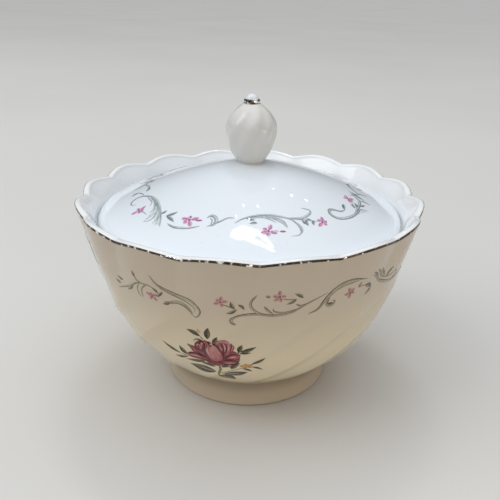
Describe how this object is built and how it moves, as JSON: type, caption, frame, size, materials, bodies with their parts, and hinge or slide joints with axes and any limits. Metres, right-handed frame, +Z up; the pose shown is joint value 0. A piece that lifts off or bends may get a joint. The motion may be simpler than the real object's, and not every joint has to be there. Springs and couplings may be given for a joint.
{
  "type": "sugar bowl",
  "caption": "Round lidded porcelain sugar bowl with swirled flutes, scalloped lip, plain foot ring and a bud finial on its lift-off lid.",
  "frame": {"origin": "on the table, under the middle of the foot ring", "axes": "+Z up along the bowl's and the lid's axis; the rose spray faces -Y"},
  "size_m": [0.1146, 0.1146, 0.0993],
  "materials": {
    "bowl_porcelain": "clear gloss glaze with floral decals",
    "lid_porcelain": "clear gloss glaze with floral decals",
    "platinum": "bright fired platinum lustre"
  },
  "bodies": {
    "bowl": {"bowl_body": "bowl_porcelain", "foot_ring": "bowl_porcelain", "rim_band": "platinum"},
    "lid": {"lid_dome": "lid_porcelain", "lid_flange": "lid_porcelain", "finial_bud": "lid_porcelain", "finial_bead": "lid_porcelain", "bead_band": "platinum"}
  },
  "joints": [
    {"name": "lid_lift", "type": "slide", "parent": "bowl", "child": "lid", "axis": [0, 0, 1], "range_m": [0, 0.06]}
  ]
}
